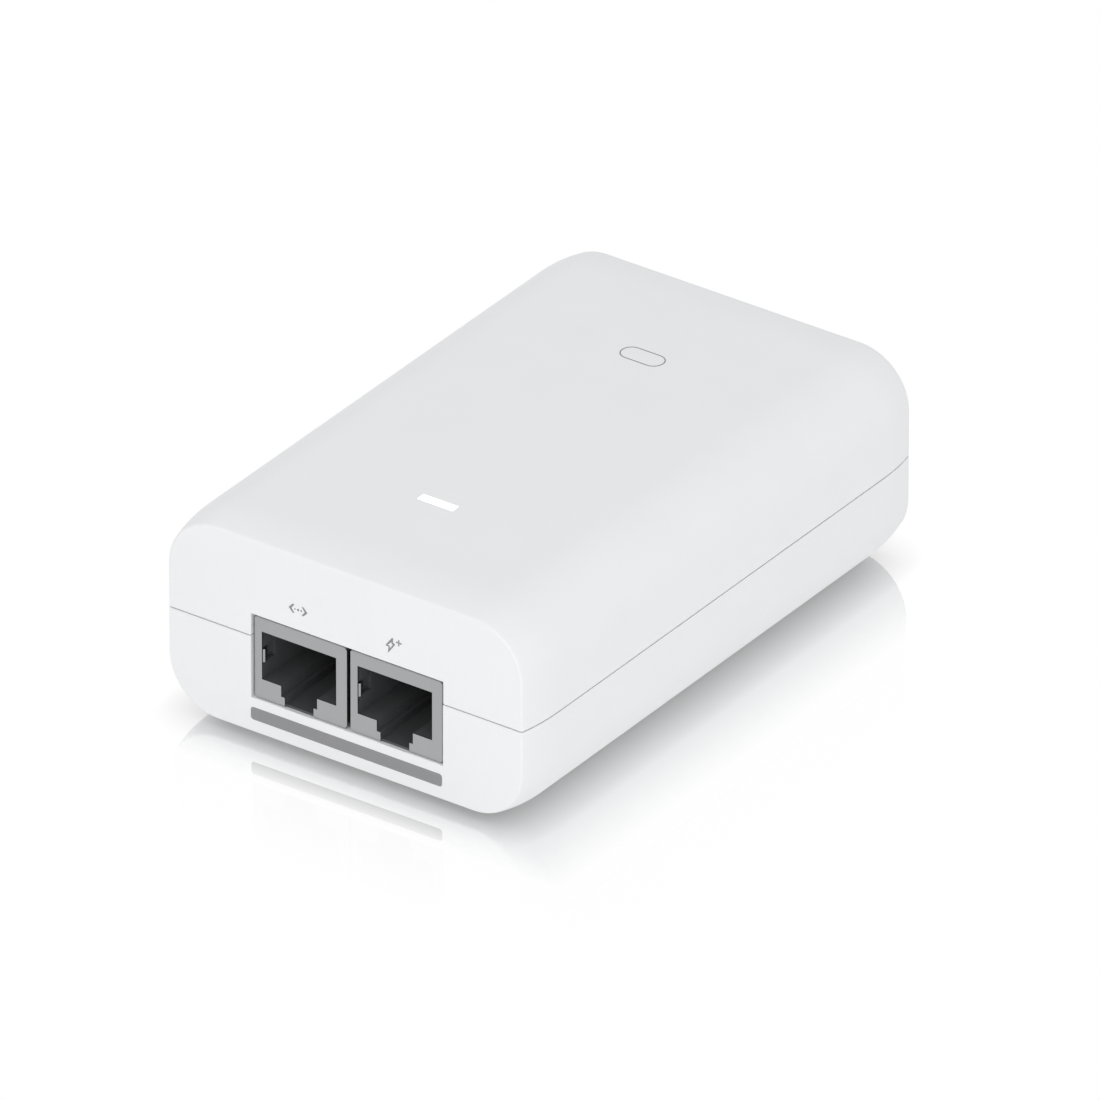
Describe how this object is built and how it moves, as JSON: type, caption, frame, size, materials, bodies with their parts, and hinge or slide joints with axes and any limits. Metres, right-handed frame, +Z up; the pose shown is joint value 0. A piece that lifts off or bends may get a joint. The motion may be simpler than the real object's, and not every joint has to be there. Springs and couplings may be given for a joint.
{
  "type": "power-over-Ethernet injector",
  "caption": "Desktop power-over-Ethernet injector: rounded flat case with side-by-side shielded network jacks at one end, a mains inlet at the other and a status light on top.",
  "frame": {"origin": "centre of the footprint, on the surface that the feet stand on", "axes": "+Z up, +Y from the jack end to the mains end along the case's length, +X to the right of someone facing the jacks"},
  "size_m": [0.063, 0.096, 0.034],
  "materials": {
    "case_plastic": "fine satin",
    "foot_rubber": "matte",
    "zinc_steel": "zinc plated",
    "light_plastic": "milky, diffusing",
    "led_body": "gloss",
    "shield_metal": "nickel plated, satin",
    "jack_plastic": "satin",
    "contact_metal": "gold plated",
    "inlet_plastic": "satin",
    "pin_metal": "nickel plated",
    "board_laminate": "solder mask",
    "sheet_plastic": "matte",
    "fuse_plastic": "satin",
    "varistor_coat": "dipped",
    "box_capacitor_plastic": "satin",
    "ferrite": "matte",
    "copper_wire": "enamelled copper",
    "chip_plastic": "moulded",
    "capacitor_sleeve": "shrink sleeve",
    "sink_aluminium": "extruded",
    "bobbin_plastic": "satin",
    "winding_tape": "polyester tape",
    "disc_capacitor_coat": "dipped",
    "output_sleeve": "shrink sleeve"
  },
  "bodies": {
    "root": {"top_shell": "case_plastic", "bottom_shell": "case_plastic", "rubber_feet": "foot_rubber", "case_screws": "zinc_steel", "light_guide": "light_plastic", "status_led": "led_body", "data_jack_shield": "shield_metal", "data_jack_insert": "jack_plastic", "data_jack_contacts": "contact_metal", "power_jack_shield": "shield_metal", "power_jack_insert": "jack_plastic", "power_jack_contacts": "contact_metal", "inlet_body": "inlet_plastic", "line_pin": "pin_metal", "neutral_pin": "pin_metal", "earth_pin": "pin_metal", "main_board": "board_laminate", "insulation_sheet": "sheet_plastic", "fuse": "fuse_plastic", "surge_varistor": "varistor_coat", "filter_capacitor": "box_capacitor_plastic", "mains_choke_core": "ferrite", "mains_choke_windings": "copper_wire", "bridge_rectifier": "chip_plastic", "reservoir_capacitor_front": "capacitor_sleeve", "reservoir_capacitor_back": "capacitor_sleeve", "switching_transistor": "chip_plastic", "transistor_heat_sink": "sink_aluminium", "transistor_screw": "zinc_steel", "switching_controller": "chip_plastic", "transformer_core": "ferrite", "transformer_bobbin": "bobbin_plastic", "transformer_winding": "winding_tape", "isolation_capacitor": "disc_capacitor_coat", "optocoupler": "chip_plastic", "output_rectifier": "chip_plastic", "rectifier_heat_sink": "sink_aluminium", "rectifier_screw": "zinc_steel", "output_capacitor_front": "output_sleeve", "output_capacitor_back": "output_sleeve", "output_choke": "ferrite", "port_controller": "chip_plastic", "data_magnetics": "chip_plastic", "power_magnetics": "chip_plastic"}
  },
  "joints": []
}
